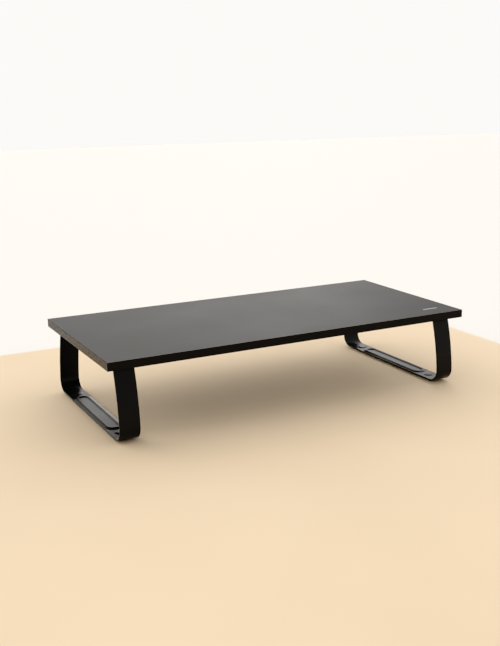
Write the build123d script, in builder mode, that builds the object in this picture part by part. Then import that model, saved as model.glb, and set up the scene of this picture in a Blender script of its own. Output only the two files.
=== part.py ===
"""Monitor riser: a faced and edge-banded board on two bent strip-steel legs.

X runs along the board, -Y is the front, Z is up, and the desk is the plane Z = 0.
The origin is on the desk, below the middle of the board. Sizes are in millimetres.
"""

import os
from math import radians, sin, sqrt

from build123d import *

# Board
board_length = 600.0
board_depth = 270.0
board_thickness = 12.0
board_top = 120.0
facing_thickness = 0.6
band_thickness = 1.0
band_edge_radius = 0.4

# Legs: one flat strip each, bent in the YZ plane
strip_width = 30.0
strip_thickness = 2.5
strip_edge_radius = 0.5
leg_inset = 14.0
leg_depth = 267.0
leg_clearance = 2.0
corner_outer_radius = 20.0
crown_outer_radius = 9.0
lean_at_corner = 4.5
lean_at_crown = 17.5
tab_length = 44.0
tab_end_radius = 5.0

# Bead pressed up around a flat panel in each bottom run: skirt, crest, flank down to the panel
crest_length = 153.5
crest_width = 19.8
crest_land = 2.2
crest_height = 1.8
skirt_width = 4.3
flank_width = 0.7
panel_drop = 1.5
press_radius = 1.0
groove_width = 1.2
groove_depth = 1.4

# Round seats for the feet, one at each end of the bead
seat_spacing = 188.0
seat_base_diameter = 18.0
seat_top_diameter = 11.0
seat_height = 1.3

# Rubber feet, seated in the recess under each round seat
foot_diameter = 12.0
foot_recess_depth = 1.0
foot_clearance = 0.1
foot_edge_radius = 0.4

# M5 button-head screws and the threaded inserts they turn into, two for each tab
screw_pitch = 22.0
screw_setback = 12.0
tab_hole_diameter = 5.5
thread_diameter = 5.0
thread_clearance = 0.05
screw_length = 10.0
head_diameter = 9.5
head_height = 2.7
head_edge_radius = 1.8
hex_width = 3.0
hex_depth = 1.6
insert_diameter = 8.0
insert_neck_diameter = 7.2
insert_length = 8.0
insert_barb_length = 1.6
insert_barb_pitch = 3.2
insert_hole_depth = 8.5

# Heights and positions that follow from the sizes above
board_bottom = board_top - board_thickness
core_bottom = board_bottom + facing_thickness
core_top = board_top - facing_thickness
faced_length = board_length - 2 * band_thickness
faced_depth = board_depth - 2 * band_thickness
tab_bottom = board_bottom - strip_thickness
run_top = leg_clearance + strip_thickness
crest_top = run_top + crest_height
seat_top = run_top + seat_height
leg_offset = board_length / 2 - leg_inset - strip_width / 2
half_strip = strip_thickness / 2
corner_radius = corner_outer_radius - half_strip
crown_radius = crown_outer_radius - half_strip
run_half_length = leg_depth / 2 - corner_outer_radius
sin_corner = sin(radians(lean_at_corner))
sin_crown = sin(radians(lean_at_crown))

# The upright is one large arc: it takes up the height that the corner and the crown leave
bend_height = board_bottom - run_top
corner_rise = corner_radius * (1 + sin_corner)
crown_rise = crown_radius * (1 - sin_crown)
upright_radius = (bend_height - corner_rise - crown_rise) / (sin_crown - sin_corner)

SIDES = {"left": -1, "right": 1}
ENDS = {"front": -1, "rear": 1}


def half_centreline(x_centre):
    """Centreline of the rear half of a leg's strip, from the middle of its bottom run to its tab's end."""
    with BuildLine(Plane.YZ.offset(x_centre)) as line:
        run = Line((0, leg_clearance + half_strip), (run_half_length, leg_clearance + half_strip))
        corner = JernArc(run @ 1, run % 1, corner_radius, 90 + lean_at_corner)
        upright = JernArc(corner @ 1, corner % 1, upright_radius, lean_at_crown - lean_at_corner)
        crown = JernArc(upright @ 1, upright % 1, crown_radius, 90 - lean_at_crown)
        Line(crown @ 1, crown @ 1 + (crown % 1) * tab_length)
    return line.wires()[0]


tab_end_y = (half_centreline(0) @ 1).Y
print(f"upright radius {upright_radius:.1f}, tab ends {tab_end_y:.1f} from the middle")


def fastener_points(side, end):
    """Centres of the two screws in one tab."""
    first = tab_end_y + screw_setback
    return [(side * leg_offset, end * (first + step * screw_pitch)) for step in range(2)]


ALL_FASTENERS = [
    point for side in SIDES.values() for end in ENDS.values() for point in fastener_points(side, end)
]


def finish(part, name):
    """Name a finished piece and write its STEP file."""
    part.label = name
    export_step(part, f"parts/{name}.step")


os.makedirs("parts", exist_ok=True)

# Board: core, facings and edge bands
with BuildPart() as board_core:
    with BuildSketch(Plane.XY.offset(core_bottom)):
        Rectangle(faced_length, faced_depth)
    extrude(amount=core_top - core_bottom)
    with BuildSketch(Plane.XY.offset(core_bottom)):
        with Locations(ALL_FASTENERS):
            Circle(insert_diameter / 2)
    extrude(amount=insert_hole_depth - facing_thickness, mode=Mode.SUBTRACT)
finish(board_core.part, "board_core")

with BuildPart() as top_facing:
    with BuildSketch(Plane.XY.offset(core_top)):
        Rectangle(faced_length, faced_depth)
    extrude(amount=facing_thickness)
finish(top_facing.part, "top_facing")

with BuildPart() as bottom_facing:
    with BuildSketch(Plane.XY.offset(board_bottom)):
        Rectangle(faced_length, faced_depth)
        with Locations(ALL_FASTENERS):
            Circle(insert_diameter / 2, mode=Mode.SUBTRACT)
    extrude(amount=facing_thickness)
finish(bottom_facing.part, "bottom_facing")

for end_name, end in ENDS.items():
    with BuildPart() as long_band:
        with BuildSketch(Plane.XY.offset(board_bottom)):
            with Locations((0, end * (board_depth - band_thickness) / 2)):
                Rectangle(board_length, band_thickness)
        extrude(amount=board_thickness)
        outer_face = long_band.faces().sort_by(Axis.Y)[0 if end < 0 else -1]
        fillet(outer_face.edges(), band_edge_radius)
    finish(long_band.part, f"{end_name}_edge_band")

for side_name, side in SIDES.items():
    with BuildPart() as end_band:
        with BuildSketch(Plane.XY.offset(board_bottom)):
            with Locations((side * (board_length - band_thickness) / 2, 0)):
                Rectangle(band_thickness, faced_depth)
        extrude(amount=board_thickness)
        outer_face = end_band.faces().sort_by(Axis.X)[0 if side < 0 else -1]
        fillet(outer_face.edges().filter_by(Axis.Y), band_edge_radius)
    finish(end_band.part, f"{side_name}_edge_band")

# Legs
for side_name, side in SIDES.items():
    x_leg = side * leg_offset
    seats = [(x_leg, end * seat_spacing / 2) for end in ENDS.values()]
    with BuildPart() as leg:
        path = half_centreline(x_leg)
        with BuildSketch(Plane(origin=path @ 0, x_dir=(1, 0, 0), z_dir=path % 0)):
            Rectangle(strip_width, strip_thickness)
        sweep(path=path)
        mirror(about=Plane.XZ)
        tab_corners = leg.edges().filter_by(Axis.Z).filter_by_position(Axis.Y, -tab_end_y - 1, tab_end_y + 1)
        fillet(tab_corners, tab_end_radius)
        side_edges = [
            edge
            for edge in leg.edges()
            if all(abs(abs(vertex.X - x_leg) - strip_width / 2) < 0.01 for vertex in edge.vertices())
        ]
        fillet(side_edges, strip_edge_radius)

        # Bead: skirts slope up to a crest, and flanks slope down from it to a flat panel
        for level, inset in ((run_top, -skirt_width), (crest_top, 0)):
            with BuildSketch(Plane.XY.offset(level)):
                with Locations((x_leg, 0)):
                    SlotOverall(crest_length - 2 * inset, crest_width - 2 * inset, rotation=90)
        loft(ruled=True)
        for level, inset in ((crest_top - panel_drop, crest_land + flank_width), (crest_top, crest_land)):
            with BuildSketch(Plane.XY.offset(level)):
                with Locations((x_leg, 0)):
                    SlotOverall(crest_length - 2 * inset, crest_width - 2 * inset, rotation=90)
        loft(ruled=True, mode=Mode.SUBTRACT)

        # Round seats with the same gentle skirts
        for seat in seats:
            for level, diameter in ((run_top, seat_base_diameter), (seat_top, seat_top_diameter)):
                with BuildSketch(Plane.XY.offset(level)):
                    with Locations(seat):
                        Circle(diameter / 2)
            loft(ruled=True)
        for level in (crest_top, seat_top):
            raised_faces = leg.faces().filter_by_position(Axis.Z, level - 0.01, level + 0.01)
            fillet(raised_faces.edges(), press_radius)

        # Under the strip: a recess for each foot, and the groove that the press leaves below the crest
        with BuildSketch(Plane.XY.offset(leg_clearance)):
            with Locations(seats):
                Circle(foot_diameter / 2)
        extrude(amount=foot_recess_depth, mode=Mode.SUBTRACT)
        mid_length = crest_length - crest_land
        mid_width = crest_width - crest_land
        with BuildSketch(Plane.XY.offset(leg_clearance)):
            with Locations((x_leg, 0)):
                for spread, mode in ((groove_width, Mode.ADD), (-groove_width, Mode.SUBTRACT)):
                    SlotOverall(mid_length + spread, mid_width + spread, rotation=90, mode=mode)
        extrude(amount=groove_depth, mode=Mode.SUBTRACT)

        # Screw holes in the tabs
        with BuildSketch(Plane.XY.offset(tab_bottom)):
            with Locations([point for end in ENDS.values() for point in fastener_points(side, end)]):
                Circle(tab_hole_diameter / 2)
        extrude(amount=strip_thickness, mode=Mode.SUBTRACT)
    finish(leg.part, f"{side_name}_leg")

# Feet, screws and threaded inserts
for side_name, side in SIDES.items():
    for end_name, end in ENDS.items():
        corner_name = f"{side_name}_{end_name}"
        points = fastener_points(side, end)

        with BuildPart() as foot:
            with BuildSketch():
                with Locations((side * leg_offset, end * seat_spacing / 2)):
                    Circle(foot_diameter / 2 - foot_clearance)
            extrude(amount=leg_clearance + foot_recess_depth)
            fillet(foot.edges().group_by(Axis.Z)[0], foot_edge_radius)
        finish(foot.part, f"{corner_name}_foot")

        with BuildPart() as screws:
            with BuildSketch(Plane.XY.offset(tab_bottom - head_height)):
                with Locations(points):
                    Circle(head_diameter / 2)
            extrude(amount=head_height)
            fillet(screws.edges().group_by(Axis.Z)[0], head_edge_radius)
            with BuildSketch(Plane.XY.offset(tab_bottom)):
                with Locations(points):
                    Circle(thread_diameter / 2 - thread_clearance)
            extrude(amount=screw_length)
            with BuildSketch(Plane.XY.offset(tab_bottom - head_height)):
                with Locations(points):
                    RegularPolygon(hex_width / sqrt(3), 6)
            extrude(amount=hex_depth, mode=Mode.SUBTRACT)
        finish(screws.part, f"{corner_name}_screws")

        with BuildPart() as inserts:
            with BuildSketch(Plane.XY.offset(board_bottom)):
                with Locations(points):
                    Circle(insert_neck_diameter / 2)
            extrude(amount=insert_length)
            for barb in range(3):
                with BuildSketch(Plane.XY.offset(board_bottom + barb * insert_barb_pitch)):
                    with Locations(points):
                        Circle(insert_diameter / 2)
                extrude(amount=insert_barb_length)
            with BuildSketch(Plane.XY.offset(board_bottom)):
                with Locations(points):
                    Circle(thread_diameter / 2)
            extrude(amount=insert_length, mode=Mode.SUBTRACT)
        finish(inserts.part, f"{corner_name}_inserts")
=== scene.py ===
"""Looks for the monitor riser: materials, a printed mark, a pale floor, soft studio light and the camera.

Everything is in metres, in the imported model's frame: X along the board, -Y the front, Z up, floor at Z = 0.
"""

import math

import bmesh
import bpy
from mathutils import Matrix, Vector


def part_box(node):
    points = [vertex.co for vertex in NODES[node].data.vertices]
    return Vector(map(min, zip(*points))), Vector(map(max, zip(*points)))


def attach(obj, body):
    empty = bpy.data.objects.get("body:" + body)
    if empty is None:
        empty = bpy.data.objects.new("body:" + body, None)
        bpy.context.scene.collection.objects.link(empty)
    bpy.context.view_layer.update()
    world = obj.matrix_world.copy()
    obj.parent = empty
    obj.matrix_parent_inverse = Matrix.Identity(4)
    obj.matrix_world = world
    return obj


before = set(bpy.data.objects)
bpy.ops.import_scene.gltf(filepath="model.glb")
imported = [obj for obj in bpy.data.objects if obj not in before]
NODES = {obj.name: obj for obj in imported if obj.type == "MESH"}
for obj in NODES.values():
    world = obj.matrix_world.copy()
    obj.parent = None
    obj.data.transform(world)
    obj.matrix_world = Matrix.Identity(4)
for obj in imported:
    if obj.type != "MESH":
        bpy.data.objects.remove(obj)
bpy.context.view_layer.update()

SCENE = bpy.context.scene

# Camera: the photograph's viewing angle. A heading of 0 looks along Y, and more turns it towards X
CAMERA_PLACE = (-0.6785, -1.2273, 0.4683)
CAMERA_HEADING = math.radians(28.402)
CAMERA_TILT = math.radians(14.498)
CAMERA_ROLL = math.radians(-0.252)
CAMERA_LENS = 50.90
SENSOR_WIDTH = 36.0
CLIP_START = 0.05
CLIP_END = 100.0

# Light, as multiples of the white that the picture shows. WALL_FROM and WALL_TO are cosines of the angle
# to the direction BRIGHT_WALL: between them the light rises from ROOM_LIGHT to WALL_LIGHT. The ceiling is
# dimmed in the same way, by CEILING_LIGHT at the zenith
BRIGHT_WALL = (0.34, 0.94, 0.0)
WALL_FROM = -0.9
WALL_TO = 0.4
WALL_LIGHT = 1.95
ROOM_LIGHT = 0.62
ZENITH = (0.0, 0.0, 1.0)
CEILING_FROM = 0.4
CEILING_TO = 0.95
CEILING_LIGHT = 0.55
ROOM_COLOUR = (1.0, 0.975, 0.94)
BACKDROP_COLOUR = (0.97, 0.955, 0.935)

# Soft darker patches on the walls: heading, rise, outer and inner radius in degrees, and share of the light
DARK_PATCHES = ((45, 7, 12, 4, 0.1), (8, 24, 24, 8, 0.75))

# A camera's contrast: pairs of scene light and shown light, with a soft toe
TOE = (
    (0.004, 0.0018),
    (0.01, 0.0032),
    (0.02, 0.0055),
    (0.035, 0.0125),
    (0.06, 0.045),
    (0.1, 0.09),
    (0.2, 0.197),
)

# The printed mark on the top: its size, its thickness, and its middle from the facing's edges
MARK_LENGTH = 0.028
MARK_WIDTH = 0.0036
MARK_THICKNESS = 0.00006
MARK_FROM_RIGHT = 0.0395
MARK_FROM_FRONT = 0.0300
MARK_END_POINTS = 9

# The painted shade line just below the end bands' top edges: the heights between which the gloss fades, a
# dulled strip that stands in for the shade on the edge's bevel
SHADE_LINE_FROM = 0.1185
SHADE_LINE_TO = 0.1193

# The floor: its half size, where the warm desk tone ends behind and beside the riser, and its tones
FLOOR_SIZE = 6.0
DESK_BACK = 0.38
DESK_RIGHT = 0.517
DESK_FADE = 0.006
DESK_TONES = ((0.83, 0.665, 0.47), (0.87, 0.70, 0.50))
BEYOND_TONE = (0.9, 0.88, 0.85)


def make_camera():
    """The photograph's view."""
    data = bpy.data.cameras.new("camera")
    data.lens = CAMERA_LENS
    data.sensor_width = SENSOR_WIDTH
    data.clip_start = CLIP_START
    data.clip_end = CLIP_END
    camera = bpy.data.objects.new("camera", data)
    turn = (
        Matrix.Rotation(-CAMERA_HEADING, 4, "Z")
        @ Matrix.Rotation(math.pi / 2 - CAMERA_TILT, 4, "X")
        @ Matrix.Rotation(CAMERA_ROLL, 4, "Z")
    )
    camera.matrix_world = Matrix.Translation(CAMERA_PLACE) @ turn
    SCENE.collection.objects.link(camera)
    SCENE.camera = camera


class Nodes:
    """A material's node tree, with one call for each node it needs."""

    def __init__(self, name):
        self.material = bpy.data.materials.new(name)
        self.material.use_nodes = True
        self.tree = self.material.node_tree
        self.tree.nodes.clear()
        self.output = self.add("ShaderNodeOutputMaterial")
        self.shader = self.add("ShaderNodeBsdfPrincipled")
        self.link(self.shader, "BSDF", self.output, "Surface")
        self.place = self.add("ShaderNodeTexCoord")

    def add(self, kind, **values):
        node = self.tree.nodes.new(kind)
        for key, value in values.items():
            setattr(node, key, value)
        return node

    def link(self, source, output, target, name):
        self.tree.links.new(source.outputs[output], target.inputs[name])

    def mapped(self, scale):
        """Object coordinates, multiplied by scale along X, Y and Z."""
        mapping = self.add("ShaderNodeMapping")
        mapping.inputs["Scale"].default_value = scale
        self.link(self.place, "Object", mapping, "Vector")
        return mapping

    def split(self):
        """Object coordinates as separate X, Y and Z."""
        split = self.add("ShaderNodeSeparateXYZ")
        self.link(self.place, "Object", split, "Vector")
        return split

    def combine(self, operation, first, second):
        """Two results joined by one operation."""
        result = self.add("ShaderNodeMath", operation=operation)
        for index, source in enumerate((first, second)):
            self.tree.links.new(source.outputs["Result"], result.inputs[index])
        return result

    def noise(self, scale, detail, roughness=0.5, stretch=(1, 1, 1)):
        """Noise with about scale features to the metre; a stretch below 1 draws it out along that axis."""
        noise = self.add("ShaderNodeTexNoise")
        noise.inputs["Scale"].default_value = scale
        noise.inputs["Detail"].default_value = detail
        noise.inputs["Roughness"].default_value = roughness
        self.link(self.mapped(stretch), "Vector", noise, "Vector")
        return noise

    def spread(self, source, low, high, out_low, out_high, output="Fac"):
        """source, with low..high turned into out_low..out_high, and held beyond them."""
        spread = self.add("ShaderNodeMapRange")
        for key, value in (("From Min", low), ("From Max", high), ("To Min", out_low), ("To Max", out_high)):
            spread.inputs[key].default_value = value
        self.link(source, output, spread, "Value")
        return spread

    def ramp(self, source, stops):
        """source through a colour ramp; stops are (position, colour)."""
        ramp = self.add("ShaderNodeValToRGB")
        elements = ramp.color_ramp.elements
        while len(elements) < len(stops):
            elements.new(0.5)
        for element, (position, colour) in zip(elements, stops):
            element.position = position
            element.color = (*colour, 1.0)
        self.link(source, "Fac", ramp, "Fac")
        return ramp

    def bump(self, source, strength, distance, below=None):
        """source as a relief, on top of the relief below if there is one."""
        bump = self.add("ShaderNodeBump")
        bump.inputs["Strength"].default_value = strength
        bump.inputs["Distance"].default_value = distance
        self.link(source, "Fac", bump, "Height")
        if below is not None:
            self.link(below, "Normal", bump, "Normal")
        return bump

    def set(self, **values):
        """Uniform values, straight onto the shader's own sockets."""
        for key, value in values.items():
            self.shader.inputs[key.replace("_", " ")].default_value = value


def grey(value, warm=0.0):
    """A grey, with a little more red and less blue where warm is above 0."""
    return (value * (1 + warm), value, value * (1 - warm))


def facing_material():
    """Satin dark melamine: a fine pearl texture and faint cloudy changes of tone."""
    m = Nodes("satin_melamine")
    cloud = m.noise(9.0, detail=3.0)
    m.link(m.ramp(cloud, [(0.3, grey(0.020)), (0.7, grey(0.024, 0.03))]), "Color", m.shader, "Base Color")
    pearl = m.noise(1400.0, detail=2.0)
    coarse = m.noise(420.0, detail=2.0)
    m.link(m.spread(cloud, 0.3, 0.7, 0.36, 0.40), "Result", m.shader, "Roughness")
    under = m.bump(coarse, 0.10, 0.00006)
    m.link(m.bump(pearl, 0.14, 0.00003, below=under), "Normal", m.shader, "Normal")
    m.set(IOR=1.20)
    return m.material


def band_material(name, along, dark, pale, ior, shine=(0.5, 0.5), line=1.0):
    """Edge band with a fine grain and a painted shade line just below its top edge, where its gloss is
    dulled.

    along is the stretch of the grain, dark and pale are its tones, and shine is the spread of its gloss.
    line is the share of the gloss that is left in the painted shade line; 1 leaves the line out.
    """
    m = Nodes(name)
    grain = m.noise(430.0, detail=5.0, roughness=0.6, stretch=along)
    stops = [(0.38, grey(dark, 0.15)), (0.62, grey(pale, 0.40))]
    m.link(m.ramp(grain, stops), "Color", m.shader, "Base Color")
    m.link(m.spread(grain, 0.35, 0.65, 0.26, 0.46), "Result", m.shader, "Roughness")
    # Painted shade: the gloss is dulled in a thin line just below the top edge, standing in for the shade on
    # the edge's bevel
    edge = m.spread(m.split(), SHADE_LINE_FROM, SHADE_LINE_TO, 1.0, line, output="Z")
    gloss = m.combine("MULTIPLY", m.spread(grain, 0.42, 0.58, *shine), edge)
    m.link(gloss, "Value", m.shader, "Specular IOR Level")
    m.link(m.bump(grain, 0.5, 0.00012), "Normal", m.shader, "Normal")
    m.set(IOR=ior)
    return m.material


def powder_coat():
    """Satin black powder coat: a fine orange peel over a slow change of gloss."""
    m = Nodes("black_powder_coat")
    peel = m.noise(650.0, detail=2.0)
    fine = m.noise(2400.0, detail=1.0)
    slow = m.noise(30.0, detail=2.0)
    m.link(m.ramp(slow, [(0.3, grey(0.004)), (0.7, grey(0.006, 0.04))]), "Color", m.shader, "Base Color")
    m.link(m.spread(slow, 0.3, 0.7, 0.27, 0.31), "Result", m.shader, "Roughness")
    under = m.bump(peel, 0.16, 0.00008)
    m.link(m.bump(fine, 0.10, 0.00002, below=under), "Normal", m.shader, "Normal")
    m.set(IOR=1.39)
    return m.material


def rubber():
    """Matt black rubber with a fine grit."""
    m = Nodes("foot_rubber")
    grit = m.noise(1800.0, detail=3.0)
    m.link(m.ramp(grit, [(0.3, grey(0.012)), (0.7, grey(0.020))]), "Color", m.shader, "Base Color")
    m.link(m.spread(grit, 0.3, 0.7, 0.75, 0.9), "Result", m.shader, "Roughness")
    m.link(m.bump(grit, 0.3, 0.00004), "Normal", m.shader, "Normal")
    return m.material


def black_oxide():
    """Blackened steel screw with a faint turned finish."""
    m = Nodes("black_oxide_steel")
    turned = m.noise(2600.0, detail=3.0, stretch=(1, 1, 6))
    m.link(m.ramp(turned, [(0.3, grey(0.020)), (0.7, grey(0.045, 0.03))]), "Color", m.shader, "Base Color")
    m.link(m.spread(turned, 0.3, 0.7, 0.28, 0.44), "Result", m.shader, "Roughness")
    m.link(m.bump(turned, 0.12, 0.00002), "Normal", m.shader, "Normal")
    m.set(Metallic=0.7)
    return m.material


def brass():
    """Turned brass with fine rings of lighter and darker tone."""
    m = Nodes("turned_brass")
    turned = m.noise(2200.0, detail=3.0, stretch=(1, 1, 8))
    stops = [(0.3, (0.52, 0.36, 0.14)), (0.7, (0.70, 0.52, 0.24))]
    m.link(m.ramp(turned, stops), "Color", m.shader, "Base Color")
    m.link(m.spread(turned, 0.3, 0.7, 0.25, 0.4), "Result", m.shader, "Roughness")
    m.set(Metallic=1.0)
    return m.material


def fibreboard():
    """Raw board core: brown fibres in thin layers."""
    m = Nodes("fibreboard")
    fibre = m.noise(700.0, detail=6.0, roughness=0.65, stretch=(1, 1, 3))
    stops = [(0.30, (0.26, 0.17, 0.09)), (0.70, (0.42, 0.30, 0.18))]
    m.link(m.ramp(fibre, stops), "Color", m.shader, "Base Color")
    m.link(m.bump(fibre, 0.5, 0.0002), "Normal", m.shader, "Normal")
    m.set(Roughness=0.85)
    return m.material


def give(material, *names):
    """Put a material in every slot of the named CAD nodes."""
    for name in names:
        slots = NODES[name].data.materials
        if not slots:
            slots.append(material)
        for index in range(len(slots)):
            slots[index] = material


def names_ending(ending):
    """The CAD nodes whose names have this ending."""
    return [name for name in NODES if name.endswith(ending)]


def printed_mark():
    """A plain pale bar with round ends, printed near the front right corner of the top."""
    low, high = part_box("top_facing")
    middle = (high[0] - MARK_FROM_RIGHT, low[1] + MARK_FROM_FRONT)
    radius = MARK_WIDTH / 2
    mesh = bmesh.new()
    outline = []
    for end in (1, -1):
        for step in range(MARK_END_POINTS):
            turn = math.pi * (step / (MARK_END_POINTS - 1) - 0.5)
            x = end * (MARK_LENGTH / 2 - radius + radius * math.cos(turn))
            y = end * radius * math.sin(turn)
            outline.append(mesh.verts.new((middle[0] + x, middle[1] + y, high[2])))
    top = bmesh.ops.extrude_face_region(mesh, geom=[mesh.faces.new(outline)])
    raised = [part for part in top["geom"] if isinstance(part, bmesh.types.BMVert)]
    bmesh.ops.translate(mesh, vec=(0, 0, MARK_THICKNESS), verts=raised)
    bmesh.ops.recalc_face_normals(mesh, faces=mesh.faces)
    data = bpy.data.meshes.new("printed_mark")
    mesh.to_mesh(data)
    mesh.free()
    m = Nodes("pale_print")
    grain = m.noise(1500.0, detail=3.0)
    m.link(m.ramp(grain, [(0.35, grey(0.36)), (0.65, grey(0.46))]), "Color", m.shader, "Base Color")
    m.link(m.spread(grain, 0.3, 0.7, 0.45, 0.6), "Result", m.shader, "Roughness")
    data.materials.append(m.material)
    mark = bpy.data.objects.new("printed_mark", data)
    SCENE.collection.objects.link(mark)
    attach(mark, "root")


def dress_nodes():
    """Give every CAD node its material."""
    give(facing_material(), "top_facing", "bottom_facing")
    long_band = band_material("long_edge_band", (0.06, 1, 1), 0.002, 0.006, 1.34)
    give(long_band, "front_edge_band", "rear_edge_band")
    # Painted light: the end bands are the same black band as the long ones, given a paler brown tone for the
    # warm light and floor reflections that fall on the board's ends; the grain itself is the band's own. They
    # also carry the painted shade line under their top edge.
    lit_end_band = band_material("lit_end_edge_band", (1, 1, 0.6), 0.002, 0.040, 1.38, shine=(0.1, 0.9), line=0.3)
    give(lit_end_band, "left_edge_band", "right_edge_band")
    give(powder_coat(), "left_leg", "right_leg")
    give(rubber(), *names_ending("_foot"))
    give(black_oxide(), *names_ending("_screws"))
    give(brass(), *names_ending("_inserts"))
    give(fibreboard(), "board_core")


def make_floor():
    """A plain floor: a warm pale desk tone around the riser, and a nearly white one beyond it."""
    mesh = bmesh.new()
    bmesh.ops.create_grid(mesh, x_segments=1, y_segments=1, size=FLOOR_SIZE)
    data = bpy.data.meshes.new("floor")
    mesh.to_mesh(data)
    mesh.free()
    floor = bpy.data.objects.new("floor", data)
    SCENE.collection.objects.link(floor)
    m = Nodes("pale_floor")
    desk = m.ramp(m.noise(3.0, detail=2.0), list(zip((0.3, 0.7), DESK_TONES)))
    place = m.split()
    behind = m.spread(place, DESK_BACK - DESK_FADE, DESK_BACK + DESK_FADE, 0.0, 1.0, output="Y")
    beside = m.spread(place, DESK_RIGHT - DESK_FADE, DESK_RIGHT + DESK_FADE, 0.0, 1.0, output="X")
    # The mix's colour sockets are number 6 and 7 going in, and 2 coming out
    colour = m.add("ShaderNodeMix", data_type="RGBA")
    m.link(m.combine("MAXIMUM", behind, beside), "Value", colour, "Factor")
    m.tree.links.new(desk.outputs["Color"], colour.inputs[6])
    colour.inputs[7].default_value = (*BEYOND_TONE, 1)
    m.tree.links.new(colour.outputs[2], m.shader.inputs["Base Color"])
    m.set(Roughness=0.7, Specular_IOR_Level=0.2)
    data.materials.append(m.material)


def make_world():
    """Bright walls behind the desk with darker patches, a dimmer ceiling and a dimmer room in front.

    The camera itself sees a plain pale backdrop.
    """
    world = bpy.data.worlds.new("soft_world")
    world.use_nodes = True
    nodes = world.node_tree.nodes
    link = world.node_tree.links.new
    place = nodes.new("ShaderNodeTexCoord")

    def along(direction, low, high, out_low, out_high):
        """A smooth change from out_low to out_high as the view turns towards direction."""
        dot = nodes.new("ShaderNodeVectorMath")
        dot.operation = "DOT_PRODUCT"
        dot.inputs[1].default_value = direction
        link(place.outputs["Generated"], dot.inputs[0])
        spread = nodes.new("ShaderNodeMapRange")
        spread.interpolation_type = "SMOOTHSTEP"
        for key, value in (("From Min", low), ("From Max", high), ("To Min", out_low), ("To Max", out_high)):
            spread.inputs[key].default_value = value
        link(dot.outputs["Value"], spread.inputs["Value"])
        return spread.outputs["Result"]

    def combine(operation, first, second):
        """Two outputs joined by one operation."""
        math_node = nodes.new("ShaderNodeMath")
        math_node.operation = operation
        link(first, math_node.inputs[0])
        link(second, math_node.inputs[1])
        return math_node.outputs["Value"]

    wall = along(BRIGHT_WALL, WALL_FROM, WALL_TO, ROOM_LIGHT, WALL_LIGHT)
    ceiling = along(ZENITH, CEILING_FROM, CEILING_TO, 1.0, CEILING_LIGHT)
    total = combine("MULTIPLY", wall, ceiling)
    for *angles, light in DARK_PATCHES:
        heading, rise, outer, inner = (math.radians(angle) for angle in angles)
        level = math.cos(rise)
        middle = (level * math.sin(heading), level * math.cos(heading), math.sin(rise))
        total = combine("MULTIPLY", total, along(middle, math.cos(outer), math.cos(inner), 1.0, light))
    room = nodes["Background"]
    room.inputs["Color"].default_value = (*ROOM_COLOUR, 1)
    link(total, room.inputs["Strength"])
    backdrop = nodes.new("ShaderNodeBackground")
    backdrop.inputs["Color"].default_value = (*BACKDROP_COLOUR, 1)
    path = nodes.new("ShaderNodeLightPath")
    mix = nodes.new("ShaderNodeMixShader")
    link(path.outputs["Is Camera Ray"], mix.inputs[0])
    link(room.outputs["Background"], mix.inputs[1])
    link(backdrop.outputs["Background"], mix.inputs[2])
    link(mix.outputs["Shader"], nodes["World Output"].inputs["Surface"])
    SCENE.world = world


def set_contrast():
    """A camera's contrast, on the combined colour curve, which is number 3."""
    view = SCENE.view_settings
    view.view_transform = "Standard"
    view.use_curve_mapping = True
    curve = view.curve_mapping.curves[3]
    for light, shown in TOE:
        curve.points.new(light, shown)
    view.curve_mapping.update()


make_camera()
dress_nodes()
printed_mark()
make_floor()
make_world()
set_contrast()
